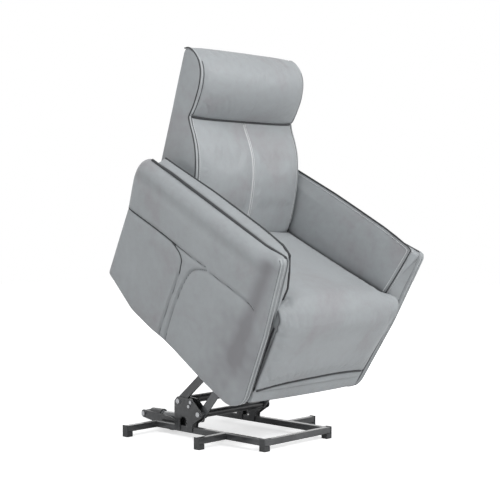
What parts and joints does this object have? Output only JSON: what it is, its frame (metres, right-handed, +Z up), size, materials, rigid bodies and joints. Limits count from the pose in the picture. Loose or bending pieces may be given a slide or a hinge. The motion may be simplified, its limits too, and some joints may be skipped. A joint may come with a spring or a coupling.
{
  "type": "power lift recliner chair",
  "caption": "Upholstered recliner chair on a powered four-bar lift base, raised and tilted forward to help a person stand, with reclining back and swing-up leg rest.",
  "frame": {"origin": "on the floor, on the plane of symmetry, under the middle of the raised chair: 230 mm behind the front of the base", "axes": "+Z up, +X towards the sitter's left, the sitter faces -Y"},
  "size_m": [0.862, 1.0293, 1.5276],
  "materials": {
    "black_steel": "satin",
    "grey_steel": "satin",
    "zinc_plate": "satin",
    "black_plastic": "matte",
    "plywood": "matte",
    "webbing": "matte",
    "grey_leather": "satin"
  },
  "bodies": {
    "base": {"side_rail_left": "black_steel", "side_rail_right": "black_steel", "front_bar": "black_steel", "middle_outriggers": "black_steel", "rear_outriggers": "black_steel", "feet": "black_plastic", "lift_bracket_left": "black_steel", "lift_bracket_right": "black_steel", "pivot_bolts": "zinc_plate", "front_link_spacers": "zinc_plate", "motor_mount": "black_steel", "motor_tail_pin": "zinc_plate"},
    "lift_link": {"rear_lift_links": "black_steel", "torque_tube": "black_steel"},
    "front_link": {"front_lift_links": "grey_steel", "front_cross_tube": "black_steel"},
    "lift_actuator": {"lift_motor": "black_plastic", "lift_actuator_tube": "grey_steel"},
    "lift_actuator_rod": {"lift_rod": "zinc_plate"},
    "chair": {"mechanism_plate_left": "black_steel", "mechanism_plate_right": "black_steel", "chair_pivot_pins": "zinc_plate", "seat_rails": "black_steel", "seat_cross_tubes": "black_steel", "seat_frame_sides": "plywood", "seat_frame_ends": "plywood", "seat_webbing": "webbing", "seat_cushion": "grey_leather", "hinge_plates": "black_steel", "back_pivot_pins": "zinc_plate", "legrest_pivot_pins": "zinc_plate", "arm_panel_left": "grey_leather", "arm_panel_right": "grey_leather", "arm_board_left": "plywood", "arm_board_right": "plywood", "arm_pad_left": "grey_leather", "arm_pad_right": "grey_leather", "arm_brackets": "black_steel", "front_lower_panel": "grey_leather", "rear_lower_panel": "grey_leather", "control_box": "black_plastic", "back_motor_bracket": "black_steel"},
    "back_actuator": {"back_motor": "black_plastic", "back_actuator_tube": "grey_steel"},
    "back_actuator_rod": {"back_rod": "zinc_plate"},
    "backrest": {"back_stiles": "plywood", "back_rails": "plywood", "back_hinge_arms": "black_steel", "back_crank": "black_steel", "back_cushion": "grey_leather", "headrest": "grey_leather", "rear_panel": "grey_leather"},
    "legrest": {"legrest_arms": "black_steel", "legrest_board": "plywood", "legrest_pad": "grey_leather"}
  },
  "joints": [
    {"name": "lift_lowering", "type": "hinge", "parent": "base", "child": "lift_link", "pos_m": [0, 0.24, 0.143], "axis": [1, 0, 0], "range_deg": [0, 39.21]},
    {"name": "chair_tilt", "type": "hinge", "parent": "lift_link", "child": "chair", "pos_m": [0, -0.04746, 0.38524], "axis": [1, 0, 0], "range_deg": [-72.02, 0]},
    {"name": "front_link_swing", "type": "hinge", "parent": "base", "child": "front_link", "pos_m": [0, 0.125, 0.101], "axis": [1, 0, 0], "range_deg": [0, 46.27]},
    {"name": "lift_actuator_tilt", "type": "hinge", "parent": "base", "child": "lift_actuator", "pos_m": [-0.125, 0.498, 0.058], "axis": [1, 0, 0], "range_deg": [0, 2.28]},
    {"name": "lift_actuator_stroke", "type": "slide", "parent": "lift_actuator", "child": "lift_actuator_rod", "axis": [0, -0.9997, 0.0233], "range_m": [-0.06064, 0]},
    {"name": "back_recline", "type": "hinge", "parent": "chair", "child": "backrest", "pos_m": [0, 0.18534, 0.87881], "axis": [-1, 0, 0], "range_deg": [0, 38]},
    {"name": "back_actuator_tilt", "type": "hinge", "parent": "chair", "child": "back_actuator", "pos_m": [0, -0.02325, 0.58044], "axis": [1, 0, 0], "range_deg": [0, 2.18]},
    {"name": "back_actuator_stroke", "type": "slide", "parent": "back_actuator", "child": "back_actuator_rod", "axis": [0, 0.8233, 0.5676], "range_m": [-0.08546, 0]},
    {"name": "legrest_swing", "type": "hinge", "parent": "chair", "child": "legrest", "pos_m": [0, -0.38445, 0.52632], "axis": [-1, 0, 0], "range_deg": [0, 85]}
  ],
  "couplings": [
    {"joint": "chair_tilt", "follows": "lift_lowering", "ratio": -1.8009},
    {"joint": "front_link_swing", "follows": "lift_lowering", "ratio": 1.1571},
    {"joint": "lift_actuator_tilt", "follows": "lift_lowering", "ratio": 0.057074},
    {"joint": "lift_actuator_stroke", "follows": "lift_lowering", "m_per_rad": -0.086881},
    {"joint": "back_actuator_tilt", "follows": "back_recline", "ratio": 0.056236},
    {"joint": "back_actuator_stroke", "follows": "back_recline", "m_per_rad": -0.12633}
  ]
}
